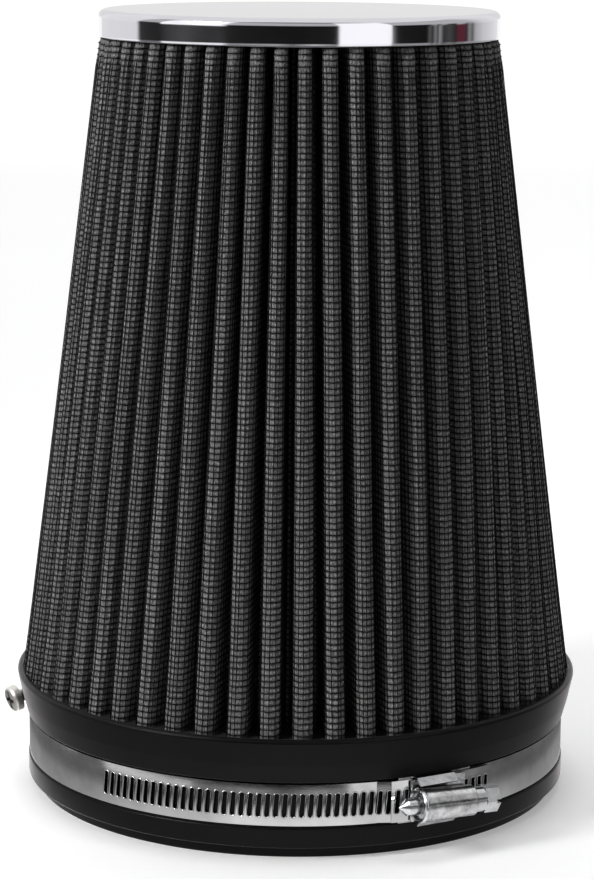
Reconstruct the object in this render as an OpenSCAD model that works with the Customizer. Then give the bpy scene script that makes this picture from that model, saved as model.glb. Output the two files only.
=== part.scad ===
// Cone air filter: a pleated element between a pressed cap and a moulded flange,
// with a worm-drive clamp round the flange's neck.
// Origin on the axis at the neck's lower face, element upwards, clamp screw towards -Y and +X.

/* [Flange] */
// Inner diameter of the neck, which slips over the intake pipe
bore_d = 152.4; // [127:0.1:204]
// Thickness of the neck's wall at the land below the clamp
neck_wall = 15.6; // [12:0.1:20]
// Height from the neck's lower face to the top of the lip
flange_h = 40.4; // [39:0.1:50]
// How far the rim below the step is set back from the land
rim_set_back = 3.2; // [1:0.1:5]
// Height of the rim below the step
rim_h = 4; // [2.5:0.1:5]
// Height of the land between the step and the clamp groove
land_h = 6.6; // [4:0.1:8]
// Depth of the clamp groove below the land
groove_depth = 1.05; // [0.6:0.05:1.3]
// How far the shoulder above the groove stands out from the land
shoulder_out = 0.3; // [0.1:0.05:1]
// Height of the shoulder's slope
shoulder_h = 6; // [4:0.1:7]
// How far the crease under the lip stands out from the shoulder
crease_out = 1.5; // [0.5:0.1:3]
// How far the lip stands out from the crease
lip_out = 1.65; // [0.8:0.05:3]
// Rounding of the lip's upper edge
lip_round = 1.1; // [0.6:0.1:1.4]
// Width of the lip outside the pleats' seat
lip_w = 1.65; // [1.5:0.05:3]
// Depth of the seat that the pleats stand in
seat_depth = 0.8; // [0.5:0.1:1.5]

/* [Pleats] */
// Number of pleats
pleats = 54; // [48:1:58]
// Height of the pleated pack from its seat to its end in the cap
pleat_h = 214.6; // [190:0.1:240]
// Radial depth of a pleat
pleat_depth = 14.8; // [12:0.1:15.5]
// Share of the pitch that a ridge takes
ridge_share = 0.66; // [0.6:0.01:0.68]
// How far the sides of a ridge start below its crest
ridge_drop = 2.3; // [1.2:0.1:3]
// How far the edges of a ridge's crest lie below its middle
crest_drop = 0.35; // [0.1:0.05:0.6]
// Share of a ridge's width that its crest takes
crest_share = 0.5; // [0.35:0.01:0.65]
// Half the width of a valley's floor
valley_half = 0.6; // [0.4:0.05:0.7]
// Thickness of each wire screen
screen_t = 0.3; // [0.2:0.05:0.35]
// Thickness of the filter cloth
media_t = 1; // [0.7:0.05:1.1]
// Angle of the ridge next to the middle of the front
pleat_phase = 1.6; // [0:0.1:6]
// Sideways lean of the pleats on the clamp's side, in degrees
pleat_lean = 12; // [0:0.5:14]

/* [Cap] */
// Outer diameter of the cap
cap_d = 132.8; // [128:0.1:138]
// Height of the cap's skirt
cap_h = 8.8; // [7:0.1:12]
// Thickness of the cap's sheet
cap_t = 0.7; // [0.5:0.05:1]
// Outer rounding of the cap's edge
cap_round = 2.5; // [2:0.1:3]
// How far the pleats reach up into the cap
cap_grip = 1; // [0.6:0.1:2]

/* [Clamp band] */
// Width of the band
band_w = 13.6; // [12.7:0.1:14.2]
// Thickness of the band
band_t = 0.7; // [0.6:0.05:0.8]
// Number of slots in the band
slots = 49; // [20:1:53]
// Distance from slot to slot along the band
slot_pitch = 2.74; // [2.5:0.01:2.9]
// Width of a slot
slot_w = 1.3; // [1:0.05:1.5]
// Length of a slot
slot_l = 7.7; // [6:0.1:8.5]
// Slant of the slots from upright
slot_slant = 4.5; // [0:0.5:8]
// Angle from the front to the end of the band's tail
tail_angle = 43; // [42:0.1:48]
// Rounding of the tail's corners
tail_round = 2.6; // [1:0.1:5]

/* [Clamp housing] */
// Angle from the front to the middle of the housing
housing_angle = 29.1; // [28.7:0.1:29.5]
// Length of the housing's barrel
barrel_l = 19.9; // [19:0.1:21]
// Outer diameter of the barrel behind its mouth
barrel_d = 10.6; // [10.2:0.1:10.8]
// Outer diameter of the barrel at the screw's head
barrel_end_d = 10; // [9.9:0.1:10.2]
// Diameter of the rolled lip round the barrel's mouth
mouth_d = 11.4; // [11:0.1:12]
// Width of the rolled lip
mouth_l = 1.7; // [1.2:0.1:2.5]
// Slope of the worm and its barrel against the band, in degrees
worm_slope = 3; // [0:0.5:3.5]
// How far the worm's middle lies below the band's middle
worm_drop = 0.9; // [0.5:0.1:1]
// Thickness of the housing's sheet
housing_t = 0.7; // [0.6:0.05:0.9]
// Length of the saddle under the tail
saddle_l = 26.5; // [24:0.5:28]
// Thickness of the saddle
saddle_t = 0.6; // [0.5:0.05:0.8]
// Length of the saddle's folded ears
ear_l = 13.8; // [8:0.1:14]
// How far the ears' middle lies from the housing's middle, towards the worm's tip
ear_shift = 1.2; // [0.8:0.1:1.4]
// How far the lower ear bulges below the saddle
ear_bulge = 1; // [0.2:0.1:1.5]
// Diameter of the worm's core
worm_core_d = 6.8; // [6:0.1:7.2]
// Diameter over the worm's thread
worm_d = 8.4; // [8:0.1:8.6]
// Gap between the worm's thread and the band's tail
worm_gap = 0.15; // [0.1:0.05:0.4]
// Diameter of the journal at the screw's tip
tip_d = 5.4; // [4.5:0.1:6]
// Length of the cone at the screw's tip
tip_cone_l = 2.6; // [2:0.1:5]
// Length of the screw between the barrel and the tip's cone
tip_l = 4.2; // [1:0.1:5]
// Radial play between the screw and the holes that carry it
screw_play = 0.05; // [0.02:0.01:0.1]
// Diameter of the collar behind the hexagon
collar_d = 8.2; // [7.8:0.1:9]
// Length of the collar
collar_l = 3.8; // [2:0.1:6]
// Width across the flats of the screw's hexagon
hex_af = 8; // [7:0.1:8]
// Height of the screw's hexagon
hex_h = 5; // [4:0.1:6]
// Width of the slot across the hexagon
driver_w = 1.2; // [0.8:0.1:1.6]
// Depth of the slot across the hexagon
driver_depth = 1.6; // [1:0.1:2.5]

/* [Side screw] */
// Angle from the front to the side screw, on the side away from the clamp
side_angle = -84.5; // [-86:0.5:-83]
// Height of the side screw above the neck's lower face
side_z = 29.1; // [28.8:0.1:30.5]
// Skew of the side screw towards the front
side_skew = 25; // [15:0.5:26]
// Droop of the side screw's head
side_droop = 15; // [8:0.5:16]
// Diameter of the side screw's head
side_head_d = 9; // [8:0.1:9.4]
// Height of the side screw's head
side_head_h = 3.2; // [2.4:0.1:4]
// Diameter of the side screw's shank
side_shank_d = 4.2; // [3.5:0.1:5]
// Length of the side screw's shank below its head
side_shank_l = 12; // [8:0.5:14]
// How far the head's middle stands off the flange
side_stand = 1.7; // [1.6:0.1:2.5]
// Width of a bar of the cross recess
cross_w = 1.5; // [0.9:0.1:1.7]
// Depth of the cross recess
cross_depth = 1.6; // [1:0.1:2]

/* [Hidden] */
$fn = 96;
cut = 1;

bore_r = bore_d / 2;
land_r = bore_r + neck_wall;
rim_r = land_r - rim_set_back;
shoulder_r = land_r + shoulder_out;
crease_r = shoulder_r + crease_out;
lip_r = crease_r + lip_out;
groove_r = land_r - groove_depth;
groove_z = rim_h + land_h;
layer_play = 0.05;
band_play = saddle_t + 2 * layer_play;
groove_top = groove_z + band_w + 2 * band_play;
crease_z = groove_top + shoulder_h;
seat_z = flange_h - seat_depth;
edge_round = 0.8;
step_round = 0.5;
seat_play = 0.3;
steps = 5;

pleat_r = lip_r - lip_w - seat_play;
pitch_angle = 360 / pleats;
pack_top = seat_z + pleat_h;
cap_z = pack_top - cap_grip;
cap_r = cap_d / 2;
tuck_h = 2.2;
tuck_z = cap_z - tuck_h;
tuck_play = 0.15;
tuck_r = cap_r - cap_t - tuck_play;
lean_start = 0.35;

band_r = groove_r + layer_play;
band_z = groove_z + band_play + band_w / 2;
band_mid = band_r + band_t / 2;
saddle_r = band_r + band_t + layer_play;
tail_r = saddle_r + saddle_t + layer_play;
tail_mid = tail_r + band_t / 2;
foot_r = tail_r + band_t + layer_play;
fold_r = foot_r + housing_t + layer_play;
worm_r = tail_r + band_t + worm_gap + worm_d / 2;
barrel_r = barrel_d / 2;
slot_angle = slot_pitch / band_mid * 180 / PI;
first_slot_l = 3.05;
first_slot = tail_angle - first_slot_l / tail_mid * 180 / PI;
saddle_angle = asin(saddle_l / 2 / saddle_r);
tail_slots = ceil((first_slot - housing_angle + saddle_angle + 0.3) / slot_angle - 0.5);
ramp_end = first_slot - (tail_slots + 0.5) * slot_angle;
ramp_start = ramp_end - 2 * slot_angle;
anchor_angle = housing_angle - saddle_angle + 0.6;
lap = 0.4;
seam_inset = 0.1;
side_v = band_w / 2 + layer_play;
wall_t = 0.8;
tip_recess = 1;
mouth_round = 0.8;
ear_play = 0.7;
end_play = 0.1;
collar_round = 0.4;
head_round = 1.4;
cross_l = 6.4;

// Points of an arc round [x, z] from angle a0 to angle a1
function arc(x, z, r, a0, a1, n = steps) =
    [for (i = [0:n]) let (a = a0 + (a1 - a0) * i / n) [x + r * cos(a), z + r * sin(a)]];

// Outer radius of the pleated pack at height z
function pack_r(z) = let (cone = pleat_r + (cap_r - pleat_r) * (z - seat_z) / (tuck_z - seat_z))
    z <= tuck_z ? cone : cap_r + (tuck_r - cap_r) * (z - tuck_z) / tuck_h;

// Angle of a point of the pleats, bent sideways on the clamp's side as the pack has settled
function pleat_a(a, z) = let (t = (z - seat_z) / pleat_h, b = a % 360)
    a + (b > 0 && b < 120 ? pleat_lean * (t - lean_start) * pow(sin(b * 1.5), 2) : 0);

// One pleat's points on the surface that lies d below the outermost one: four on the ridge, two in the valley
function pleat_points(i, z, d) =
    let (
        r = pack_r(z) - d,
        v = r - pleat_depth,
        mid = pleat_phase + i * pitch_angle,
        valley = mid + pitch_angle / 2,
        whole = ridge_share * pitch_angle / 2,
        half = whole - d * 180 / PI / pack_r(z),
        floor_half = (valley_half + d) * 180 / PI / (pack_r(z) - pleat_depth),
        shrink = half / whole,
        pts = [
            [mid - half, r - ridge_drop * shrink],
            [mid - half * crest_share, r - crest_drop * shrink],
            [mid + half * crest_share, r - crest_drop * shrink],
            [mid + half, r - ridge_drop * shrink],
            [valley - floor_half, v],
            [valley + floor_half, v]])
    [for (p = pts) let (a = pleat_a(p[0], z)) [p[1] * sin(a), -p[1] * cos(a), z]];

function pleat_ring(z, d) = [for (i = [0:pleats - 1]) each pleat_points(i, z, d)];

module flange() {
    color("#26262a")
    difference() {
        flange_body();
        at_side_screw()
            translate([0, 0, -side_shank_l - end_play])
            cylinder(d = side_shank_d + 2 * screw_play, h = side_shank_l);
    }
}

module flange_body() {
    rotate_extrude($fn = 180)
    polygon(concat(
        [[bore_r, 0]],
        arc(rim_r - edge_round, edge_round, edge_round, -90, 0),
        [[rim_r, rim_h]],
        arc(land_r - step_round, rim_h + step_round, step_round, -90, 0),
        arc(land_r - step_round, groove_z - step_round, step_round, 0, 90),
        [[groove_r, groove_z], [groove_r, groove_top], [shoulder_r - step_round, groove_top]],
        arc(shoulder_r - step_round, groove_top + step_round, step_round, -90, -15),
        [[crease_r, crease_z]],
        arc(lip_r - lip_round, flange_h - lip_round, lip_round, -10, 90),
        [[lip_r - lip_w, flange_h], [lip_r - lip_w, seat_z], [bore_r, seat_z]]));
}

// A closed pleated sheet between the surfaces d0 and d1 below the outermost one
module pleated_sheet(d0, d1) {
    levels = [seat_z, tuck_z, pack_top];
    n = pleats * 6;
    last = len(levels) - 1;
    points = [for (z = levels) each concat(pleat_ring(z, d0), pleat_ring(z, d1))];
    // Index of point k of surface s at level l
    function at(l, s, k) = (2 * l + s) * n + k % n;
    function quad(a, b, c, d) = [[a, b, c], [a, c, d]];
    polyhedron(points, [
        for (k = [0:n - 1]) each concat(
            quad(at(0, 1, k), at(0, 1, k + 1), at(0, 0, k + 1), at(0, 0, k)),
            quad(at(last, 0, k), at(last, 0, k + 1), at(last, 1, k + 1), at(last, 1, k))),
        for (l = [0:last - 1]) for (k = [0:n - 1]) each concat(
            quad(at(l, 0, k), at(l, 0, k + 1), at(l + 1, 0, k + 1), at(l + 1, 0, k)),
            quad(at(l, 1, k), at(l + 1, 1, k), at(l + 1, 1, k + 1), at(l, 1, k + 1)))]);
}

module outer_screen() {
    color("#3a3a3c")
    pleated_sheet(0, screen_t);
}

module filter_media() {
    color("#1c1c20")
    pleated_sheet(screen_t, screen_t + media_t);
}

module inner_screen() {
    color("#3a3a3c")
    pleated_sheet(screen_t + media_t, 2 * screen_t + media_t);
}

module cap() {
    top = cap_z + cap_h;
    inner_round = cap_round - cap_t;
    color("#d8d8de")
    rotate_extrude($fn = 180)
    polygon(concat(
        [[0, top - cap_t]],
        arc(cap_r - cap_round, top - cap_round, inner_round, 90, 0),
        [[cap_r - cap_t, cap_z], [cap_r, cap_z]],
        arc(cap_r - cap_round, top - cap_round, cap_round, 0, 90),
        [[0, top]]));
}

module cap_potting() {
    top = cap_z + cap_h;
    inner_round = cap_round - cap_t;
    color("#303034")
    rotate_extrude($fn = 180)
    polygon(concat(
        [[0, pack_top], [cap_r - cap_t, pack_top]],
        arc(cap_r - cap_round, top - cap_round, inner_round, 0, 90),
        [[0, top - cap_t]]));
}

// A part ring of the band from angle a0 to angle a1, counted from the front towards +X
module band_arc(r, a0, a1) {
    translate([0, 0, band_z - band_w / 2])
    rotate([0, 0, a0 - 90])
    rotate_extrude(angle = a1 - a0, $fn = 180)
    translate([r, 0])
    square([band_t, band_w]);
}

// Places its children at radius r and angle a: X along the band, -Y outwards, Z up
module at_band(a, r, z = band_z) {
    rotate([0, 0, a])
    translate([0, -r, z])
    children();
}

// Radius of the middle of the band's outer layer at angle a
function layer_mid(a) = a <= ramp_start ? band_mid
    : a >= ramp_end ? tail_mid
    : band_mid + (tail_mid - band_mid) * (a - ramp_start) / (ramp_end - ramp_start);

module slot_cutter() {
    flat = slot_l - slot_w;
    depth = 1.8 * band_t;
    rotate([90, 0, 0])
    rotate([0, 0, -slot_slant])
    linear_extrude(depth, center = true)
    union() {
        translate([-slot_w / 2, -flat / 2])
        square([slot_w, flat]);
        for (s = [-1, 1])
            translate([0, s * flat / 2])
            circle(d = slot_w, $fn = 24);
    }
}

// Takes the square corners off the tail's end
module tail_corner_cutter() {
    depth = 1.8 * band_t;
    rotate([90, 0, 0])
    linear_extrude(depth, center = true)
    for (s = [-1, 1])
        difference() {
            translate([-tail_round, s > 0 ? band_w / 2 - tail_round : -band_w / 2 - cut])
            square([tail_round + cut, tail_round + cut]);
            translate([-tail_round, s * (band_w / 2 - tail_round)])
            circle(r = tail_round + seam_inset, $fn = 48);
        }
}

// The strip's step from the ring up to the tail, which lies on the saddle
module band_ramp() {
    function rim(r, a) = [r * sin(a), -r * cos(a)];
    translate([0, 0, band_z])
    linear_extrude(band_w - 2 * seam_inset, center = true)
    polygon([rim(band_r + seam_inset, ramp_start), rim(tail_r + seam_inset, ramp_end),
        rim(tail_r + band_t - seam_inset, ramp_end), rim(band_r + band_t - seam_inset, ramp_start)]);
}

module clamp_band() {
    color("#b4b6ba")
    difference() {
        union() {
            band_arc(band_r, anchor_angle, 360 + ramp_start + lap);
            band_ramp();
            band_arc(tail_r, ramp_end - lap, tail_angle);
        }
        for (i = [0:slots - 1]) {
            a = first_slot - i * slot_angle;
            at_band(a, layer_mid(a))
                slot_cutter();
        }
        at_band(tail_angle, tail_mid)
            tail_corner_cutter();
    }
}

// A flat block by the housing: l along the band, from r0 to r1 outwards, from va to vb upwards
module block(l, r0, r1, va, vb) {
    at_band(housing_angle, 0)
        translate([-l / 2, -r1, min(va, vb)])
        cube([l, r1 - r0, abs(vb - va)]);
}

// A saddle's wall beside the band and its ear, folded over the housing's foot; s is 1 above and -1 below
module ear(s, tip_out, tip_v, bulge) {
    outer_v = side_v + saddle_t;
    start = band_r - band_t;
    lean = saddle_t / sqrt(2);
    difference() {
        at_band(housing_angle, 0)
            translate([-ear_l / 2 - ear_shift, 0, 0])
            rotate([90, 0, 90])
            linear_extrude(ear_l)
            polygon([[-start, s * side_v], [-fold_r, s * side_v], [-tip_out, s * tip_v],
                [-tip_out - lean, s * (tip_v + lean)], [-fold_r - lean, s * (outer_v + bulge)],
                [-land_r - band_play / 2, s * outer_v], [-start, s * outer_v]]);
        cylinder(r = saddle_r + saddle_t / 2, h = 2 * groove_top, $fn = 180);
    }
}

module clamp_saddle() {
    outer_v = side_v + saddle_t;
    color("#c4c6ca")
    union() {
        translate([0, 0, band_z - outer_v])
        rotate([0, 0, housing_angle - saddle_angle - 90])
        rotate_extrude(angle = 2 * saddle_angle, $fn = 180)
        translate([saddle_r, 0])
        square([saddle_t, 2 * outer_v]);
        ear(1, worm_r - 1.1, barrel_r - worm_drop + ear_play, 0.1);
        ear(-1, fold_r + 1.2, side_v - 0.3, ear_bulge);
    }
}

// Turns a shape that stands on Z so that it lies along the worm, tip towards -X
module along_worm() {
    at_band(housing_angle, worm_r, band_z - worm_drop)
        rotate([0, 90 + worm_slope, 0])
        children();
}

module clamp_housing() {
    inner_r = barrel_r - housing_t;
    end_r = barrel_end_d / 2;
    mouth_r = mouth_d / 2;
    half = barrel_l / 2;
    color("#b0b2b6")
    difference() {
        union() {
            along_worm()
                rotate_extrude()
                polygon(concat(
                    [[0, -half]],
                    arc(mouth_r - mouth_round, -half + mouth_round, mouth_round, -90, 30),
                    [[barrel_r, -half + mouth_l], [end_r, half], [0, half]]));
            block(barrel_l, foot_r, foot_r + housing_t, -side_v + layer_play, side_v - layer_play);
        }
        along_worm()
            translate([0, 0, -half + tip_recess + wall_t])
            cylinder(r1 = inner_r, r2 = end_r - housing_t, h = barrel_l - tip_recess - 2 * wall_t);
        along_worm()
            translate([0, 0, -half - cut])
            cylinder(r = inner_r, h = cut + tip_recess);
        along_worm()
            translate([0, 0, -half])
            cylinder(d = tip_d + 2 * screw_play, h = 2 * (tip_recess + wall_t));
        along_worm()
            translate([0, 0, half - 2 * wall_t])
            cylinder(d = worm_core_d + 2 * screw_play, h = 4 * wall_t);
        block(barrel_l + 2 * barrel_r, foot_r - barrel_d, foot_r, -barrel_d, barrel_d);
    }
}

module clamp_screw() {
    half = barrel_l / 2;
    core_start = -half + tip_recess + wall_t + end_play;
    collar_start = half + end_play;
    hex_start = collar_start + collar_l;
    core_r = worm_core_d / 2;
    tip_r = tip_d / 2;
    collar_r = collar_d / 2;
    color("#c8cacd")
    along_worm()
        difference() {
            union() {
                rotate_extrude()
                polygon([[0, -half - tip_l - tip_cone_l], [tip_r, -half - tip_l], [tip_r, core_start],
                    [core_r, core_start], [core_r, collar_start], [collar_r - collar_round, collar_start],
                    [collar_r, collar_start + collar_round], [collar_r, hex_start], [0, hex_start]]);
                translate([0, 0, hex_start])
                rotate([0, 0, 30])
                cylinder(d = hex_af / cos(30), h = hex_h, $fn = 6);
            }
            translate([-driver_w / 2, -hex_af, hex_start + hex_h - driver_depth])
            cube([driver_w, 2 * hex_af, driver_depth + cut]);
        }
}

// Places its children with Z along the side screw, outwards, from the underside of its head
module at_side_screw() {
    at_band(side_angle, crease_r + side_stand, side_z)
        rotate([0, 0, side_skew])
        rotate([90 + side_droop, 0, 0])
        children();
}

module side_screw() {
    head_r = side_head_d / 2;
    shank_r = side_shank_d / 2;
    color("#d6d4cf")
    at_side_screw()
        difference() {
            rotate_extrude()
            polygon(concat(
                [[0, -side_shank_l], [shank_r, -side_shank_l], [shank_r, 0], [head_r, 0]],
                arc(head_r - head_round, side_head_h - head_round, head_round, 0, 90),
                [[0, side_head_h]]));
            for (turn = [0, 90])
                rotate([0, 0, turn])
                translate([-cross_w / 2, -cross_l / 2, side_head_h - cross_depth])
                cube([cross_w, cross_l, cross_depth + cut]);
        }
}

flange();
outer_screen();
filter_media();
inner_screen();
cap();
cap_potting();
clamp_band();
clamp_saddle();
clamp_housing();
clamp_screw();
side_screw();
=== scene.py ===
"""Looks of the cone air filter: wire screens, cloth, rubber, bright cap and worm clamp."""

import math

import bpy
from mathutils import Matrix, Vector


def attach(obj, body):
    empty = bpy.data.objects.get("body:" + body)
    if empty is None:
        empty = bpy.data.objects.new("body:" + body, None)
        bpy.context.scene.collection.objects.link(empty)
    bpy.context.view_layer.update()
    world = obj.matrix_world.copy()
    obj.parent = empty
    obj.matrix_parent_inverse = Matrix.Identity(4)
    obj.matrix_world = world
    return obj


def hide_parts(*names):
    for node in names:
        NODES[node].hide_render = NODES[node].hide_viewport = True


MM = 0.001

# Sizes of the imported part, in metres
SEAT_Z = 39.6 * MM
PACK_TOP = 254.2 * MM
CAP_R = 66.4 * MM
CAP_Z = 253.2 * MM
CAP_H = 8.8 * MM
CAP_T = 0.7 * MM
CAP_ROUND = 2.5 * MM
HEM_R = 0.34 * MM
CAP_STEPS = 288
PLEATS = 54
PLEAT_DEPTH = 14.8 * MM
RIDGE_SHARE = 0.66
RIDGE_DROP = 2.3 * MM
VALLEY_HALF = 0.6 * MM
PLEAT_R = 93.3 * MM
PLEAT_PHASE = 1.6
PLEAT_LEAN = 12.0
LEAN_START = 0.35
LEAN_SPAN = 120
TUCK_H = 2.2 * MM
TUCK_R = 65.55 * MM
SCREEN_T = 0.3 * MM
MEDIA_T = 1.0 * MM

BAND_R = 90.8 * MM
BAND_T = 0.7 * MM
BAND_Z = 18.1 * MM
TAIL_R = 92.2 * MM
TAIL_ANGLE = 43.0
SLOTS = 49
SLOT_PITCH = 2.74 * MM
SLOT_W = 1.3 * MM
SLOT_L = 7.7 * MM
SLOT_SLANT = 4.5
FIRST_SLOT_L = 3.05 * MM
RIM_R = 0.22 * MM
TAIL_SLOTS = 12.5
STEP_SLOTS = 2

HOUSING_ANGLE = 29.1
WORM_R = 97.25 * MM
BARREL_L = 19.9 * MM
WORM_SLOPE = 3.0
WORM_DROP = 0.9 * MM
WORM_CORE_D = 6.8 * MM
WORM_D = 8.4 * MM
TIP_RECESS = 1.0 * MM
WALL_T = 0.8 * MM
END_PLAY = 0.1 * MM

# The worm's thread: its gaps to the end walls, its root's overlap with the core, half its foot and crest
THREAD_TIP_GAP = 0.4 * MM
THREAD_HEAD_GAP = 0.5 * MM
THREAD_SINK = 0.05 * MM
THREAD_FOOT = 0.75 * MM
THREAD_CREST = 0.3 * MM
THREAD_STEPS = 32
THREAD_FADE = 10

# Wires of the screens, and the cells between them over a ridge and down a flank
WIRE_R = 0.2 * MM
ROWS = 113
ROW_EDGE = 0.4 * MM
ROW_PITCH = (PACK_TOP - SEAT_Z - 2 * ROW_EDGE) / ROWS
COLUMN_EDGE = 0.3 * MM
COLUMN_LEVELS = 20
RIDGE_CELLS = 5
FLANK_CELLS = 6

# The cloth's levels, and how far apart the pleats' cells are numbered
CLOTH_EDGE = 2 * MM
CLOTH_LEVELS = 44
CELL_SHIFT = 20.0

# The pleats' wander: how fast it changes with height, and how near the ends it fades out, in metres
WANDER_LENGTH = 0.06
SETTLE_LENGTH = 0.02
# How far a ridge strays: its middle in degrees, its crest in metres, its width as a share
MID_WANDER = 0.12
CREST_WANDER = 0.16 * MM
WIDTH_WANDER = 0.05
# How far a wire strays: columns as a share of the ridge's half width, sag and tilt in mm, kinks in metres
COLUMN_WANDER = 0.13
ROW_SAG_MM = 0.3
ROW_TILT_MM = 0.22
ROW_KINK = 0.09 * MM

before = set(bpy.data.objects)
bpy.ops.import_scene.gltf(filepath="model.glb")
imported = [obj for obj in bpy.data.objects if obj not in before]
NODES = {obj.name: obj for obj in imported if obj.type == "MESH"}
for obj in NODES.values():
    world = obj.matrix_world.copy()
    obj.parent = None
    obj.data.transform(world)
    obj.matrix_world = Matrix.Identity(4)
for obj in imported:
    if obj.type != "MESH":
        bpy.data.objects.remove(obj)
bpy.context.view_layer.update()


def mesh_object(name, verts, faces, smooth=True):
    """A new mesh object from points and faces."""
    mesh = bpy.data.meshes.new(name)
    mesh.from_pydata([tuple(v) for v in verts], [], faces)
    mesh.validate()
    mesh.update()
    if smooth:
        mesh.polygons.foreach_set("use_smooth", [True] * len(mesh.polygons))
    obj = bpy.data.objects.new(name, mesh)
    bpy.context.scene.collection.objects.link(obj)
    return obj


def finish_piece(obj, material, body="filter"):
    """Gives a new piece its material and the body that it rides on."""
    obj.data.materials.clear()
    obj.data.materials.append(material)
    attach(obj, body)
    return obj


def tube(points, radius, sides, closed):
    """Points and faces of a tube along a line of points."""
    verts = []
    faces = []
    n = len(points)
    for i, p in enumerate(points):
        before = points[i - 1] if (closed or i > 0) else p
        after = points[(i + 1) % n] if (closed or i < n - 1) else p
        along = (after - before).normalized()
        side = along.cross(Vector((0, 0, 1)))
        if side.length < 0.2:
            side = along.cross(Vector((p.x, p.y, 0)))
        side.normalize()
        up = side.cross(along)
        for k in range(sides):
            a = 2 * math.pi * k / sides
            verts.append(p + radius * (math.cos(a) * side + math.sin(a) * up))
    for i in range(n if closed else n - 1):
        j = (i + 1) % n
        for k in range(sides):
            m = (k + 1) % sides
            faces.append((i * sides + k, j * sides + k, j * sides + m, i * sides + m))
    if not closed:
        faces.append(tuple(range(sides)))
        faces.append(tuple((n - 1) * sides + k for k in reversed(range(sides))))
    return verts, faces


class Builder:
    """Collects several meshes into one piece."""

    def __init__(self):
        self.verts = []
        self.faces = []

    def add(self, verts, faces):
        start = len(self.verts)
        self.verts.extend(verts)
        self.faces.extend(tuple(start + i for i in f) for f in faces)

    def make(self, name, smooth=True):
        return mesh_object(name, self.verts, self.faces, smooth)


# Form of the pleats

def pack_r(z):
    """Outer radius of the pleated pack at height z."""
    tuck_z = CAP_Z - TUCK_H
    if z <= tuck_z:
        return PLEAT_R + (CAP_R - PLEAT_R) * (z - SEAT_Z) / (tuck_z - SEAT_Z)
    return CAP_R + (TUCK_R - CAP_R) * (z - tuck_z) / TUCK_H


def pleat_angle(a, z):
    """Angle of a point of the pleats, bent sideways on the clamp's side."""
    t = (z - SEAT_Z) / (PACK_TOP - SEAT_Z)
    b = a % 360
    if 0 < b < LEAN_SPAN:
        return a + PLEAT_LEAN * (t - LEAN_START) * math.sin(math.radians(b * (180 / LEAN_SPAN))) ** 2
    return a


# The section of one pleat from its ridge to its valley: (share of the ridge's half width, share of the drop)
RIDGE_CURVE = [(0.0, 0.0), (0.22, 0.03), (0.43, 0.12), (0.62, 0.27), (0.79, 0.5), (0.92, 0.77), (1.0, 1.06)]


def polar(a, r, z):
    """A point from its angle, counted from the front towards +X, its radius and its height."""
    t = math.radians(a)
    return Vector((r * math.sin(t), -r * math.cos(t), z))


def drift(i, z, seed):
    """A slow wander between -1 and 1 along pleat i."""
    t = z / WANDER_LENGTH
    return (math.sin(t + 2.399 * i + seed) + math.sin(2.3 * t + 5.13 * i + 2.7 * seed)
            + math.sin(0.6 * t + 1.17 * i * seed)) / 3


def on_curve(s):
    """The ridge's curve at s from 0 at the crest to 1 at the flank."""
    s = min(1.0, max(0.0, s)) * (len(RIDGE_CURVE) - 1)
    k = min(int(s), len(RIDGE_CURVE) - 2)
    (w0, d0), (w1, d1) = RIDGE_CURVE[k], RIDGE_CURVE[k + 1]
    return w0 + (w1 - w0) * (s - k), d0 + (d1 - d0) * (s - k)


def pleat_point(i, u, z, d):
    """A point of pleat i, d below the outer surface.

    u runs from -1 to 1 over the ridge, then to -2 and 2 down the flanks and to 2.5 at the valley's middle.
    """
    pitch = 360 / PLEATS
    r = pack_r(z) - d
    bottom = r - PLEAT_DEPTH
    settle = min(1.0, (z - SEAT_Z) / SETTLE_LENGTH, (PACK_TOP - z) / SETTLE_LENGTH)
    mid = PLEAT_PHASE + i * pitch + settle * MID_WANDER * drift(i, z, 1.3)
    crest = r - settle * CREST_WANDER * (1 + drift(i, z, 2.1))
    whole = RIDGE_SHARE * pitch / 2 * (1 + settle * WIDTH_WANDER * drift(i, z, 3.7))
    half = whole - math.degrees(d / pack_r(z))
    shrink = half / whole
    low = crest - RIDGE_DROP * shrink * RIDGE_CURVE[-1][1]
    valley = PLEAT_PHASE + (i + (0.5 if u > 0 else -0.5)) * pitch
    floor_half = math.degrees((VALLEY_HALF + d) / (pack_r(z) - PLEAT_DEPTH))
    side = 1 if u > 0 else -1
    q = abs(u)
    if q <= 1:
        w, drop = on_curve(q)
        a, radius = mid + side * w * half, crest - RIDGE_DROP * shrink * drop
    elif q <= 2:
        edge = valley - side * floor_half
        a = mid + side * half + (edge - mid - side * half) * (q - 1)
        radius = low + (bottom - low) * (q - 1)
    else:
        a = valley - side * floor_half * (2.5 - q) * 2
        radius = bottom
    return polar(pleat_angle(a, z), radius, z)


def sag(i, u, z):
    """How far a row wire lies off its even height."""
    return MM * (ROW_SAG_MM * drift(i, z, 4.9) + ROW_TILT_MM * u * drift(i, z, 6.1))


def row_z(k):
    """Even height of row wire k."""
    return SEAT_Z + ROW_EDGE + (k + 0.5) * ROW_PITCH


def wire_rows(name, first, last, d, stops):
    """Horizontal wires that follow the pleats, rows first to last - 1."""
    made = Builder()
    for k in range(first, last):
        z = row_z(k)
        line = []
        for i in range(PLEATS):
            for n, u in enumerate(stops):
                kink = ROW_KINK * math.sin(1.9 * n + 2.31 * i + 0.83 * k) if abs(u) < 1 else 0
                p = pleat_point(i, u, z, d)
                p.z += sag(i, max(-1, min(1, u)), z) * min(1, 2.5 - abs(u)) + kink
                line.append(p)
        made.add(*tube(line, WIRE_R, 3, True))
    return made.make(name)


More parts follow.
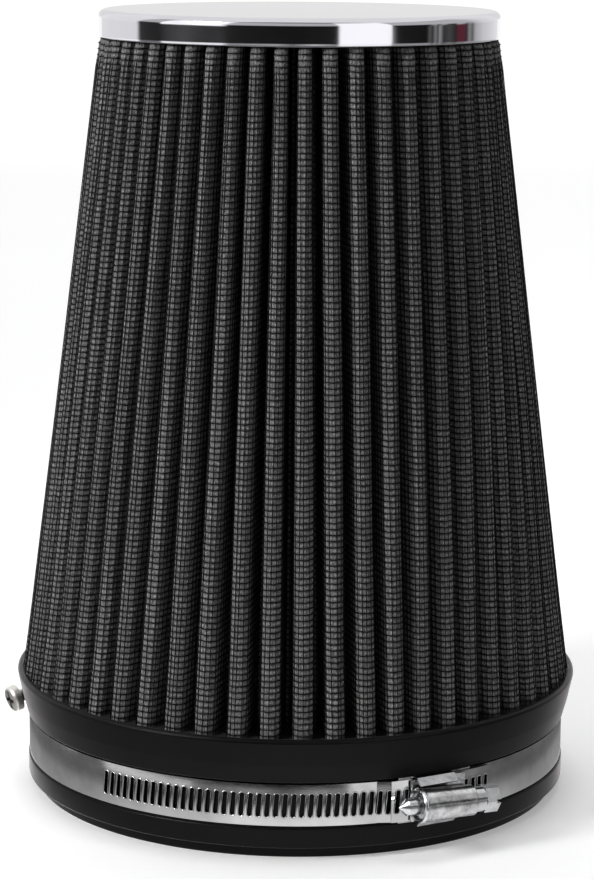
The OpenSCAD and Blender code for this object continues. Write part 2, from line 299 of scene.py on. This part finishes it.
def wire_columns(name, d, cells, every):
    """Upright wires along the ridges and flanks."""
    made = Builder()
    rise = PACK_TOP - SEAT_Z - 2 * COLUMN_EDGE
    levels = [SEAT_Z + COLUMN_EDGE + rise * k / COLUMN_LEVELS for k in range(COLUMN_LEVELS + 1)]
    for i in range(PLEATS):
        spots = [2 * (n + 0.5) / cells[0] - 1 for n in range(cells[0])]
        spots += [side * (1 + (n + 0.5) / cells[1]) for side in (1, -1) for n in range(cells[1])]
        for n, u in enumerate(spots):
            inner = abs(u) > 1
            picked = levels[::COLUMN_LEVELS // 2] if inner else levels[::every]
            line = []
            for z in picked:
                wander = 0 if inner else COLUMN_WANDER * drift(i + 7 * n, z, 8.3)
                line.append(pleat_point(i, u + wander, z, d))
            made.add(*tube(line, WIRE_R * 0.8, 3, False))
    return made.make(name)


def cloth(name):
    """The pleated cloth, with the weave of its screen laid out in the attribute "weave"."""
    rise = CAP_Z - TUCK_H - SEAT_Z - CLOTH_EDGE
    levels = [SEAT_Z + CLOTH_EDGE + rise * k / CLOTH_LEVELS for k in range(CLOTH_LEVELS + 1)]
    levels = [SEAT_Z] + levels + [PACK_TOP]
    stops = [-2.5, -2, -1.5] + [k / 8 - 1 for k in range(17)] + [1.5, 2]
    cells = {}
    for u in stops:
        q = abs(u)
        side = 1 if u > 0 else -1
        cells[u] = side * (q * RIDGE_CELLS / 2 if q <= 1 else RIDGE_CELLS / 2 + min(1, q - 1) * FLANK_CELLS)
    verts = []
    weave = []
    for z in levels:
        for i in range(PLEATS):
            for u in stops:
                verts.append(pleat_point(i, u, z, SCREEN_T))
                inner = max(-1, min(1, u))
                weave.append((cells[u] + CELL_SHIFT * i, (z - sag(i, inner, z) - row_z(0)) / ROW_PITCH, 0))
    wide = PLEATS * len(stops)
    faces = []
    for n in range(len(levels) - 1):
        for k in range(wide):
            m = (k + 1) % wide
            faces.append((n * wide + k, n * wide + m, (n + 1) * wide + m, (n + 1) * wide + k))
    start = len(verts)
    inner_stops = [-2, -1, -0.5, 0, 0.5, 1, 2]
    inner_levels = levels[::5] + [PACK_TOP]
    for z in inner_levels:
        for i in range(PLEATS):
            verts.extend(pleat_point(i, u, z, SCREEN_T + MEDIA_T) for u in inner_stops)
    wide = PLEATS * len(inner_stops)
    weave.extend([(0, 0, 0)] * (len(verts) - start))
    for n in range(len(inner_levels) - 1):
        for k in range(wide):
            m = (k + 1) % wide
            a, b = start + n * wide, start + (n + 1) * wide
            faces.append((a + k, b + k, b + m, a + m))
    obj = mesh_object(name, verts, faces)
    layer = obj.data.attributes.new("weave", "FLOAT_VECTOR", "POINT")
    layer.data.foreach_set("vector", [c for w in weave for c in w])
    return obj


def arc(r, z, radius, start, end, steps):
    """Points of an arc round (r, z) in the section of a turned piece, angles in degrees."""
    turns = [math.radians(start + (end - start) * k / steps) for k in range(steps + 1)]
    return [(r + radius * math.cos(a), z + radius * math.sin(a)) for a in turns]


def cap_shell(name):
    """The pressed cap as a smooth turned sheet with a rounded lower edge."""
    top = CAP_Z + CAP_H
    corner = (CAP_R - CAP_ROUND, top - CAP_ROUND)
    profile = [(0.0, top), (CAP_R * 0.5, top), (corner[0] - 1 * MM, top)]
    profile += arc(*corner, CAP_ROUND, 90, 0, 12)
    profile += [(CAP_R, z) for z in (corner[1] - 0.5 * MM, CAP_Z + 1.8 * MM, CAP_Z + 1.2 * MM)]
    profile += arc(CAP_R - HEM_R, CAP_Z + HEM_R, HEM_R, 0, -180, 8)
    profile += arc(*corner, CAP_ROUND - CAP_T, 0, 90, 6)
    profile.append((0.0, top - CAP_T))
    return revolve(name, profile, CAP_STEPS)


def revolve(name, profile, steps):
    """A closed turned piece from (radius, height) points that start and end on the axis."""
    verts = []
    rows = []
    for r, z in profile:
        if r < 1e-9:
            rows.append([len(verts)] * steps)
            verts.append(Vector((0, 0, z)))
        else:
            rows.append(list(range(len(verts), len(verts) + steps)))
            verts.extend(polar(360 * k / steps, r, z) for k in range(steps))
    faces = []
    for upper, lower in zip(rows, rows[1:]):
        for k in range(steps):
            m = (k + 1) % steps
            ring = []
            for v in (upper[k], lower[k], lower[m], upper[m]):
                if v not in ring:
                    ring.append(v)
            faces.append(tuple(ring))
    return mesh_object(name, verts, faces)


# Materials

# Painted shade darkens steel within this reach of another face, which this many rays test
CREASE_SHADE_REACH = 1.6 * MM
CREASE_SHADE_SAMPLES = 8


def new_material(name):
    """A material, its node tree and its main shader."""
    mat = bpy.data.materials.new(name)
    mat.use_nodes = True
    tree = mat.node_tree
    shader = tree.nodes["Principled BSDF"]
    return mat, tree, shader


def noise(tree, scale, detail=4.0, stretch=(1, 1, 1), rough=0.6):
    """Noise in the part's own coordinates, in features a metre."""
    coords = tree.nodes.new("ShaderNodeTexCoord")
    mapping = tree.nodes.new("ShaderNodeMapping")
    mapping.inputs["Scale"].default_value = stretch
    tex = tree.nodes.new("ShaderNodeTexNoise")
    tex.inputs["Scale"].default_value = scale
    tex.inputs["Detail"].default_value = detail
    tex.inputs["Roughness"].default_value = rough
    tree.links.new(coords.outputs["Object"], mapping.inputs["Vector"])
    tree.links.new(mapping.outputs["Vector"], tex.inputs["Vector"])
    return tex.outputs["Fac"]


def multiply(tree, a, b):
    """The product of two colours."""
    mix = tree.nodes.new("ShaderNodeMix")
    mix.data_type = "RGBA"
    mix.blend_type = "MULTIPLY"
    mix.inputs["Factor"].default_value = 1.0
    tree.links.new(a, mix.inputs["A"])
    tree.links.new(b, mix.inputs["B"])
    return mix.outputs["Result"]


def ramp(tree, source, stops):
    """Maps a value to colours at the given places."""
    node = tree.nodes.new("ShaderNodeValToRGB")
    elements = node.color_ramp.elements
    while len(elements) < len(stops):
        elements.new(0.5)
    for element, (place, colour) in zip(elements, stops):
        element.position = place
        element.color = (*colour, 1.0)
    tree.links.new(source, node.inputs["Fac"])
    return node.outputs["Color"]


def spread(tree, source, low, high):
    """Maps a noise's usual range, 0.3 to 0.7, onto low to high."""
    node = tree.nodes.new("ShaderNodeMapRange")
    node.inputs["From Min"].default_value = 0.3
    node.inputs["From Max"].default_value = 0.7
    node.inputs["To Min"].default_value = low
    node.inputs["To Max"].default_value = high
    tree.links.new(source, node.inputs["Value"])
    return node.outputs["Result"]


def bump(tree, shader, source, strength, distance):
    """Raises a shader's surface by a height value."""
    node = tree.nodes.new("ShaderNodeBump")
    node.inputs["Strength"].default_value = strength
    node.inputs["Distance"].default_value = distance
    tree.links.new(source, node.inputs["Height"])
    tree.links.new(node.outputs["Normal"], shader.inputs["Normal"])


def math_node(tree, kind, a, b=None):
    """A math node on one or two values, each a socket or a number."""
    node = tree.nodes.new("ShaderNodeMath")
    node.operation = kind
    for k, value in enumerate((a, b)):
        if value is None:
            continue
        if isinstance(value, (int, float)):
            node.inputs[k].default_value = value
        else:
            tree.links.new(value, node.inputs[k])
    return node.outputs["Value"]


def rubber_material():
    """Black moulded rubber with a soft sheen at its edges."""
    mat, tree, shader = new_material("rubber")
    cloud = noise(tree, 60, 5)
    tree.links.new(ramp(tree, cloud, [(0.3, (0.0013, 0.0011, 0.0017)), (0.7, (0.0028, 0.0025, 0.0034))]),
                   shader.inputs["Base Color"])
    tree.links.new(spread(tree, cloud, 0.28, 0.4), shader.inputs["Roughness"])
    shader.inputs["Specular IOR Level"].default_value = 0.12
    shader.inputs["Sheen Weight"].default_value = 1.0
    shader.inputs["Sheen Roughness"].default_value = 0.25
    shader.inputs["Sheen Tint"].default_value = (1.0, 0.95, 0.98, 1.0)
    bump(tree, shader, noise(tree, 900, 3), 0.1, 0.0001)
    return mat


def wire_material():
    """Black coated wire with a little dust."""
    mat, tree, shader = new_material("wire")
    dust = noise(tree, 120, 4)
    tree.links.new(ramp(tree, dust, [(0.35, (0.002, 0.002, 0.0022)), (0.7, (0.007, 0.007, 0.0075))]),
                   shader.inputs["Base Color"])
    tree.links.new(spread(tree, dust, 0.45, 0.65), shader.inputs["Roughness"])
    shader.inputs["Specular IOR Level"].default_value = 0.15
    return mat


def cloth_material(woven):
    """Grey cotton: fibres and, on the outer piece, the pillows that the screen presses into it, with painted
    shade in the dips along the wires.
    """
    mat, tree, shader = new_material("cloth" if woven else "cloth_plain")
    fibre = noise(tree, 1500, 4, (1, 1, 0.6), 0.7)
    patch = noise(tree, 70, 3)
    tint = ramp(tree, fibre, [(0.28, (0.07, 0.07, 0.072)), (0.5, (0.2, 0.2, 0.2)), (0.74, (0.5, 0.5, 0.485))])
    if woven:
        attribute = tree.nodes.new("ShaderNodeAttribute")
        attribute.attribute_name = "weave"
        split = tree.nodes.new("ShaderNodeSeparateXYZ")
        tree.links.new(attribute.outputs["Vector"], split.inputs["Vector"])
        across = math_node(tree, "PINGPONG", math_node(tree, "ADD", split.outputs["X"], 0.5), 0.5)
        along = math_node(tree, "PINGPONG", split.outputs["Y"], 0.5)
        pillow_and_shade = math_node(tree, "MULTIPLY",
                           math_node(tree, "POWER", math_node(tree, "MULTIPLY", along, 2.0), 0.45),
                           math_node(tree, "POWER", math_node(tree, "MULTIPLY", across, 2.0), 0.16))
        # Painted shade: the cloth's colour darkens towards the wires, as shade in the pillows' dips
        shade = ramp(tree, math_node(tree, "MULTIPLY", pillow_and_shade, spread(tree, patch, 0.82, 1.0)),
                     [(0.0, (0.16, 0.16, 0.16)), (0.55, (0.5, 0.5, 0.5)), (0.95, (1, 1, 1))])
        tree.links.new(multiply(tree, tint, shade), shader.inputs["Base Color"])
        height = math_node(tree, "ADD", pillow_and_shade, math_node(tree, "MULTIPLY", fibre, 0.5))
        bump(tree, shader, height, 0.7, 0.0004)
    else:
        tree.links.new(tint, shader.inputs["Base Color"])
        bump(tree, shader, fibre, 0.4, 0.0003)
    tree.links.new(spread(tree, fibre, 0.7, 0.95), shader.inputs["Roughness"])
    shader.inputs["Specular IOR Level"].default_value = 0.25
    return mat


def chrome_material():
    """Bright plated metal with a faint haze."""
    mat, tree, shader = new_material("cap_metal")
    haze = noise(tree, 35, 5)
    tree.links.new(ramp(tree, haze, [(0.3, (0.83, 0.82, 0.87)), (0.7, (0.87, 0.86, 0.905))]),
                   shader.inputs["Base Color"])
    shader.inputs["Metallic"].default_value = 1.0
    tree.links.new(spread(tree, haze, 0.05, 0.09), shader.inputs["Roughness"])
    return mat


def steel_material(name, low, high, rough_low, rough_high, stretch=(1, 1, 1), crown=None, dents=0.0):
    """Steel with fine marks that run the way the sheet was rolled, and painted shade where faces nearly meet.

    A crown, (height, slope in 1/m, lean), makes the sheet's shading bulge about that height and face up a
    little, and paints shade on the walls of its slots. Dents are the unevenness of pressed sheet, in mm.
    """
    mat, tree, shader = new_material(name)
    grain = noise(tree, 260, 5, stretch)
    smear = noise(tree, 300 if dents else 45, 3)
    tint = ramp(tree, smear, [(0.3, low), (0.7, high)])
    shader.inputs["Metallic"].default_value = 1.0
    tree.links.new(spread(tree, grain, rough_low, rough_high), shader.inputs["Roughness"])
    height = math_node(tree, "MULTIPLY", grain, 0.000006)
    if dents:
        height = math_node(tree, "ADD", height, math_node(tree, "MULTIPLY", noise(tree, 420, 2), dents * MM))
    if crown:
        coords = tree.nodes.new("ShaderNodeTexCoord")
        split = tree.nodes.new("ShaderNodeSeparateXYZ")
        tree.links.new(coords.outputs["Object"], split.inputs["Vector"])
        off = math_node(tree, "SUBTRACT", split.outputs["Z"], crown[0])
        bulge = math_node(tree, "MULTIPLY", math_node(tree, "MULTIPLY", off, off), -crown[1])
        bulge = math_node(tree, "SUBTRACT", bulge, math_node(tree, "MULTIPLY", off, crown[2]))
        height = math_node(tree, "ADD", height, bulge)
        # Painted shade on the slot walls, so the slots read dark
        tint = paint_slot_wall_shade(tree, coords, tint)
    # Painted shade in creases and joints is multiplied into the colour
    tree.links.new(paint_crease_shade(tree, tint), shader.inputs["Base Color"])
    bump(tree, shader, height, 1.0, 1.0)
    return mat


def paint_crease_shade(tree, tint):
    """Painted shade: darkens the narrow places where two pieces or two faces nearly meet."""
    near = tree.nodes.new("ShaderNodeAmbientOcclusion")
    near.samples = CREASE_SHADE_SAMPLES
    near.inputs["Distance"].default_value = CREASE_SHADE_REACH
    shade = ramp(tree, near.outputs["AO"], [(0.35, (0.03, 0.03, 0.03)), (0.72, (1, 1, 1))])
    return multiply(tree, tint, shade)


def paint_slot_wall_shade(tree, coords, tint):
    """Painted shade: dims the cut walls of the slots, which face along the band."""
    cross = tree.nodes.new("ShaderNodeVectorMath")
    cross.operation = "CROSS_PRODUCT"
    tree.links.new(coords.outputs["Object"], cross.inputs[0])
    tree.links.new(coords.outputs["Normal"], cross.inputs[1])
    split = tree.nodes.new("ShaderNodeSeparateXYZ")
    tree.links.new(cross.outputs["Vector"], split.inputs["Vector"])
    along = math_node(tree, "DIVIDE", math_node(tree, "ABSOLUTE", split.outputs["Z"]), BAND_R)
    return multiply(tree, tint, ramp(tree, along, [(0.3, (1, 1, 1)), (0.7, (0.06, 0.06, 0.06))]))


def sealant_material():
    """Dark poured sealant."""
    mat, tree, shader = new_material("sealant")
    flow = noise(tree, 90, 4)
    tree.links.new(ramp(tree, flow, [(0.3, (0.03, 0.03, 0.033)), (0.7, (0.05, 0.05, 0.055))]),
                   shader.inputs["Base Color"])
    tree.links.new(spread(tree, flow, 0.5, 0.7), shader.inputs["Roughness"])
    bump(tree, shader, flow, 0.3, 0.0004)
    return mat


# Clamp details

def at_band(angle, radius):
    """Places X along the band, -Y outwards and Z up."""
    return Matrix.Rotation(math.radians(angle), 4, "Z") @ Matrix.Translation((0, -radius, BAND_Z))


def slot_rims():
    """The raised rims that pressing the slots leaves on the band."""
    made = Builder()
    pitch = math.degrees(SLOT_PITCH / (BAND_R + BAND_T / 2))
    first = TAIL_ANGLE - math.degrees(FIRST_SLOT_L / (TAIL_R + BAND_T / 2))
    ramp_end = first - TAIL_SLOTS * pitch
    ramp_start = ramp_end - STEP_SLOTS * pitch
    flat = SLOT_L - SLOT_W
    end_r = SLOT_W / 2 + RIM_R
    for i in range(SLOTS):
        a = first - i * pitch
        t = min(1, max(0, (a - ramp_start) / (ramp_end - ramp_start)))
        outer = BAND_R + (TAIL_R - BAND_R) * t + BAND_T
        place = at_band(a, outer) @ Matrix.Rotation(math.radians(SLOT_SLANT), 4, "Y")
        line = []
        for s in (1, -1):
            for k in range(7):
                b = math.radians(180 * k / 6)
                x = s * math.cos(b) * end_r
                z = s * (flat / 2 + math.sin(b) * end_r)
                line.append(place @ Vector((x, 0, z)))
        made.add(*tube(line, RIM_R, 6, True))
    return made.make("slot_rims")


def worm_thread():
    """The worm's thread round its core, with one turn for each slot of the band."""
    start = -BARREL_L / 2 + TIP_RECESS + WALL_T + END_PLAY + THREAD_TIP_GAP
    end = BARREL_L / 2 - WALL_T - THREAD_HEAD_GAP
    turns = (end - start) / SLOT_PITCH
    place = at_band(HOUSING_ANGLE, WORM_R) @ Matrix.Translation((0, 0, -WORM_DROP))
    place = place @ Matrix.Rotation(math.radians(WORM_SLOPE), 4, "Y")
    root = WORM_CORE_D / 2 - THREAD_SINK
    crest = WORM_D / 2
    section = [(-THREAD_FOOT, root), (-THREAD_CREST, crest), (THREAD_CREST, crest), (THREAD_FOOT, root)]
    verts = []
    faces = []
    total = int(turns * THREAD_STEPS)
    for i in range(total + 1):
        a = 2 * math.pi * i / THREAD_STEPS
        x = start + SLOT_PITCH * i / THREAD_STEPS
        fade = min(1.0, i / THREAD_FADE, (total - i) / THREAD_FADE)
        for dx, r in section:
            q = root + (r - root) * fade
            verts.append(place @ Vector((x + dx, q * math.cos(a), q * math.sin(a))))
    for i in range(total):
        for k in range(4):
            m = (k + 1) % 4
            faces.append((4 * i + k, 4 * i + m, 4 * i + 4 + m, 4 * i + 4 + k))
    faces.append((3, 2, 1, 0))
    faces.append(tuple(4 * total + k for k in range(4)))
    return mesh_object("worm_thread", verts, faces)


# Stage

# The camera as it was fitted to the photograph: pixels, millimetres, metres and degrees
PHOTO_H = 879
FOCAL_PX = 2832.6
SENSOR_W = 36.0
CAMERA_Y = -0.9434
CAMERA_Z = 0.30145
PITCH = 11.03
ROLL = 0.36

# The light room: the glow of the floor, the air and the backdrop
FLOOR_GLOW = 0.31
FLOOR_HALF = 6
WORLD_GLOW = 0.12
BACKDROP_R = 2.4
BACKDROP_HEIGHTS = (0, 0.24, 0.32, 0.6, 3.5)
BACKDROP_GLOWS = (1.04, 1.04, 0.8, 0.75, 0.85)
BACKDROP_ANGLES = range(105, 256, 5)
PART_MIDDLE = (0, 0, 0.15)


def camera():
    """The camera at the photograph's viewing angle."""
    data = bpy.data.cameras.new("camera")
    data.sensor_width = SENSOR_W
    data.lens = FOCAL_PX / PHOTO_H * SENSOR_W
    data.clip_start = 0.01
    obj = bpy.data.objects.new("camera", data)
    bpy.context.scene.collection.objects.link(obj)
    turn = Matrix.Rotation(math.radians(90 - PITCH), 4, "X") @ Matrix.Rotation(math.radians(ROLL), 4, "Z")
    obj.matrix_world = Matrix.Translation((0, CAMERA_Y, CAMERA_Z)) @ turn
    bpy.context.scene.camera = obj


def glow_material(name, strength=None):
    """A glow of one strength, or of the mesh's attribute "glow"."""
    mat = bpy.data.materials.new(name)
    mat.use_nodes = True
    tree = mat.node_tree
    tree.nodes.clear()
    glow = tree.nodes.new("ShaderNodeEmission")
    if strength is None:
        attribute = tree.nodes.new("ShaderNodeAttribute")
        attribute.attribute_name = "glow"
        tree.links.new(attribute.outputs["Color"], glow.inputs["Color"])
    else:
        glow.inputs["Strength"].default_value = strength
    out = tree.nodes.new("ShaderNodeOutputMaterial")
    tree.links.new(glow.outputs["Emission"], out.inputs["Surface"])
    return mat


def sheet_at(name, x0, y0, x1, y1, z):
    """A flat four-cornered stage sheet."""
    return mesh_object(name, [(x0, y0, z), (x1, y0, z), (x1, y1, z), (x0, y1, z)], [(0, 1, 2, 3)])


def floor():
    """A pale floor, a little lit from below like a light table."""
    obj = sheet_at("floor", -FLOOR_HALF, -FLOOR_HALF, FLOOR_HALF, FLOOR_HALF, 0)
    mat, tree, shader = new_material("floor")
    pale = (0.83, 0.828, 0.83)
    low = tuple(c * 0.985 for c in pale)
    tree.links.new(ramp(tree, noise(tree, 3, 2), [(0.3, low), (0.7, pale)]), shader.inputs["Base Color"])
    shader.inputs["Roughness"].default_value = 0.6
    shader.inputs["Specular IOR Level"].default_value = 0.0
    shader.inputs["Emission Color"].default_value = (1, 1, 1, 1)
    shader.inputs["Emission Strength"].default_value = FLOOR_GLOW
    obj.data.materials.append(mat)


def glowing_mesh(name, verts, faces, glows):
    """A stage mesh that glows in a colour of its own at each point."""
    obj = mesh_object(name, verts, faces)
    layer = obj.data.color_attributes.new("glow", "FLOAT_COLOR", "POINT")
    layer.data.foreach_set("color", [c for g in glows for c in (*g, 1.0)])
    obj.data.materials.append(glow_material(name + "_glow"))
    return obj


def reflect_only(obj):
    """Leaves a stage object to be seen in reflections alone."""
    obj.visible_camera = False
    obj.visible_diffuse = False
    obj.visible_shadow = False


def wall(name, distance, heights, stops, visible):
    """An upright curved wall round the part.

    stops gives (angle, (glow at each height)), where a glow is a grey or a colour.
    """
    verts = []
    glows = []
    for a, row in stops:
        for z, glow in zip(heights, row):
            verts.append(polar(a, distance, z))
            glows.append(glow if isinstance(glow, tuple) else (glow, glow, glow))
    m = len(heights)
    faces = [(n * m + k, n * m + m + k, n * m + m + k + 1, n * m + k + 1)
             for n in range(len(stops) - 1) for k in range(m - 1)]
    obj = glowing_mesh(name, verts, faces, glows)
    obj.visible_camera = visible
    obj.visible_diffuse = visible


# What bright metal sees round the part: azimuth, then the glow below, at and above the cap's own height
SURROUND = [
    (-150, 1.0, 0.8, 0.85), (-102, 1.0, 0.76, 0.8), (-99, 0.15, 0.03, 0.02), (-83, 0.15, 0.015, 0.02),
    (-82, 0.9, 0.02, 1.1), (-66, 0.9, 0.06, 1.1), (-52, 0.9, 0.02, 1.1), (-43, 0.9, 0.02, 1.1),
    (-39, 0.25, 0.012, 0.008), (-12, 0.4, 0.007, 0.007), (-4, 0.15, 0.007, 0.007), (8, 0.5, 0.007, 0.007),
    (20.5, 0.2, 0.01, 0.008), (22, 1.0, 1.1, 1.1), (51, 1.0, 1.1, 1.1), (52, 0.3, 0.12, 0.01),
    (55, 0.3, 0.01, 0.008), (74, 0.3, 0.008, 0.008), (76, 0.3, 0.1, 0.02), (78, 0.1, 0.02, 0.2),
    (80, 0.3, 0.2, 0.3), (82, 0.1, 0.04, 0.05), (83, 0.3, 0.3, 0.1), (86, 0.1, 0.03, 0.3),
    (91, 0.2, 0.06, 0.05), (96, 0.1, 0.02, 0.02), (98, 0.2, (0.09, 0.02, 0.03), 0.4),
    (104, 0.2, (0.1, 0.02, 0.03), 0.3), (106, 0.3, 0.02, 0.1), (109, 0.3, 0.25, 0.3),
    (112, 0.3, 0.1, 0.3), (115, 0.3, 0.4, 0.5), (124, 0.4, 0.6, 0.7), (150, 0.5, 0.85, 0.85)]
SURROUND_R = 1.15
SURROUND_HEIGHTS = (0, 0.12, 0.15, 0.24, 0.26, 0.34, 0.44, 1.3)
UPPER_GLOW = 0.45
CEILING_Z = 2
CEILING_GLOW = 0.78


def surround():
    """Bright and dark cards for reflections alone, and a pale ceiling above them."""
    stops = []
    for a, low, mid, high in SURROUND:
        upper = max(high, UPPER_GLOW)
        stops.append((a, (low, low, mid, mid, high, high, upper, upper)))
    fine = []
    for (a0, row0), (a1, row1) in zip(stops, stops[1:]):
        steps = max(1, round((a1 - a0) / 2))
        fine += [(a0 + (a1 - a0) * k / steps, [blend(g0, g1, k / steps) for g0, g1 in zip(row0, row1)])
                 for k in range(steps)]
    wall("cards", SURROUND_R, SURROUND_HEIGHTS, fine + [stops[-1]], False)
    obj = sheet_at("ceiling", -2.3, -1.2, 2.3, 2.3, CEILING_Z)
    obj.data.materials.append(glow_material("ceiling_glow", CEILING_GLOW))
    reflect_only(obj)


def blend(a, b, t):
    """A glow between two glows, each a grey or a colour."""
    a, b = (g if isinstance(g, tuple) else (g, g, g) for g in (a, b))
    return tuple(x + (y - x) * t for x, y in zip(a, b))


# What low metal and rubber see on the floor: radius, then the glow at the sides, what the front adds, and
# what the rear corners add. Far out, some sectors are as bright as the cards above them.
SHADE_RINGS = (
    (0.1, 0.36, 0.84, 0.0), (0.125, 0.32, 0.78, 0.0), (0.15, 0.19, 0.7, 0.1), (0.2, 0.17, -0.05, 0.5),
    (0.3, 0.18, -0.14, 1.0), (0.7, 0.18, -0.14, 1.0), (0.8, 0.15, -0.11, 0.2), (1.14, 0.15, -0.11, 0.0))
SHADE_STEPS = 180
SHADE_Z = 0.001
SECTOR_START_R = 0.75
SECTOR_GLOW = 0.95
BRIGHT_SECTORS = ((-82, -42), (21, 52))
FRONT_SPREAD = 45
REAR_CORNER = 160
REAR_SPREAD = 24


def floor_shade():
    """A grey ring on the floor that only reflections see, like the darker room round a light table."""
    verts = []
    glows = []
    for k in range(SHADE_STEPS):
        a = 360 * k / SHADE_STEPS
        from_front = a if a < 180 else a - 360
        front = math.exp(-(from_front / FRONT_SPREAD) ** 2)
        rear = math.exp(-((abs(from_front) - REAR_CORNER) / REAR_SPREAD) ** 2)
        bright = any(start < from_front < end for start, end in BRIGHT_SECTORS)
        for r, side, more, back in SHADE_RINGS:
            g = SECTOR_GLOW if bright and r > SECTOR_START_R else side + more * front + back * rear
            verts.append(polar(a, r, SHADE_Z))
            glows.append((g, g, g))
    m = len(SHADE_RINGS)
    faces = [(k * m + j, k * m + j + 1, (k + 1) % SHADE_STEPS * m + j + 1, (k + 1) % SHADE_STEPS * m + j)
             for k in range(SHADE_STEPS) for j in range(m - 1)]
    obj = glowing_mesh("floor_shade", verts, faces, glows)
    reflect_only(obj)
    obj.visible_transmission = False


def area_light(name, place, target, size, power, spread_deg=180, glossy=True):
    """A soft light of the given size in metres and power in watts, turned to its target."""
    data = bpy.data.lights.new(name, "AREA")
    data.shape = "RECTANGLE"
    data.size = size[0]
    data.size_y = size[1]
    data.energy = power
    data.spread = math.radians(spread_deg)
    obj = bpy.data.objects.new(name, data)
    bpy.context.scene.collection.objects.link(obj)
    obj.location = place
    obj.rotation_euler = (Vector(target) - Vector(place)).to_track_quat("-Z", "Y").to_euler()
    obj.visible_glossy = glossy


def studio():
    """A light room: floor, backdrop, what the metal reflects, and four soft lights."""
    world = bpy.data.worlds.new("studio")
    world.use_nodes = True
    air = world.node_tree.nodes["Background"]
    air.inputs["Color"].default_value = (1, 1, 1, 1)
    air.inputs["Strength"].default_value = WORLD_GLOW
    bpy.context.scene.world = world
    floor()
    wall("backdrop", BACKDROP_R, BACKDROP_HEIGHTS, [(a, BACKDROP_GLOWS) for a in BACKDROP_ANGLES], True)
    surround()
    floor_shade()
    area_light("top", (0.0, 0.1, 1.6), (0, 0.15, 0.1), (0.9, 0.7), 9, glossy=False)
    area_light("back", (0.0, 1.6, 1.5), (0, 1.4, 0), (3.0, 2.0), 11, glossy=False)
    area_light("key", (-0.86, -0.58, 0.7), PART_MIDDLE, (0.35, 0.5), 1.4, spread_deg=60)
    area_light("right", (1.35, 0.2, 1.0), PART_MIDDLE, (0.6, 0.9), 1.5, glossy=False)


def dress_nodes():
    """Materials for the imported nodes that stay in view."""
    looks = {
        "flange": rubber_material(),
        "filter_media": cloth_material(False),
        "inner_screen": wire_material(),
        "cap": chrome_material(),
        "cap_potting": sealant_material(),
        "clamp_band": steel_material("band_steel", (0.42, 0.42, 0.42), (0.64, 0.64, 0.64), 0.1, 0.2,
                                     stretch=(1, 1, 9), crown=(BAND_Z, 12.0, 0.08)),
        "clamp_saddle": steel_material("saddle_steel", (0.34, 0.34, 0.35), (0.62, 0.62, 0.63), 0.16, 0.28,
                                       dents=0.03),
        "clamp_housing": steel_material("housing_steel", (0.42, 0.42, 0.43), (0.86, 0.86, 0.87), 0.14, 0.26,
                                        dents=0.07),
        "clamp_screw": steel_material("screw_steel", (0.6, 0.61, 0.62), (0.86, 0.87, 0.88), 0.12, 0.22,
                                      dents=0.03),
        "side_screw": steel_material("nickel", (0.92, 0.9, 0.86), (0.98, 0.96, 0.92), 0.26, 0.38),
    }
    for name, material in looks.items():
        node = NODES[name]
        node.data.materials.clear()
        node.data.materials.append(material)
    return looks


def element(wire, woven):
    """The pleated cloth between its two wire screens, in place of the plain sheets."""
    ridge = [-2.5, -2, -1, -0.78, -0.55, -0.3, 0, 0.3, 0.55, 0.78, 1, 2]
    outer = SCREEN_T - WIRE_R
    inner = SCREEN_T + MEDIA_T + WIRE_R
    parts = 3
    pieces = []
    for i in range(parts):
        first, last = ROWS * i // parts, ROWS * (i + 1) // parts
        pieces.append((wire_rows(f"outer_rows_{i}", first, last, outer, ridge), "outer_screen"))
    pieces.append((wire_columns("outer_columns", outer, (RIDGE_CELLS, FLANK_CELLS), 1), "outer_screen"))
    pieces.append((wire_rows("inner_rows", 0, ROWS, inner, [-2, -1, 0, 1, 2]), "inner_screen"))
    pieces.append((wire_columns("inner_columns", inner, (4, FLANK_CELLS), 10), "inner_screen"))
    for piece, node in pieces:
        finish_piece(piece, wire)
        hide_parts(node)
    piece = finish_piece(cloth("pleated_cloth"), woven)
    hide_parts("filter_media")


camera()
studio()
looks = dress_nodes()
element(looks["inner_screen"], cloth_material(True))
piece = finish_piece(cap_shell("cap_sheet"), looks["cap"])
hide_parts("cap")
finish_piece(slot_rims(), looks["clamp_band"])
finish_piece(worm_thread(), looks["clamp_screw"], "worm")

bpy.context.scene.view_settings.view_transform = "Standard"
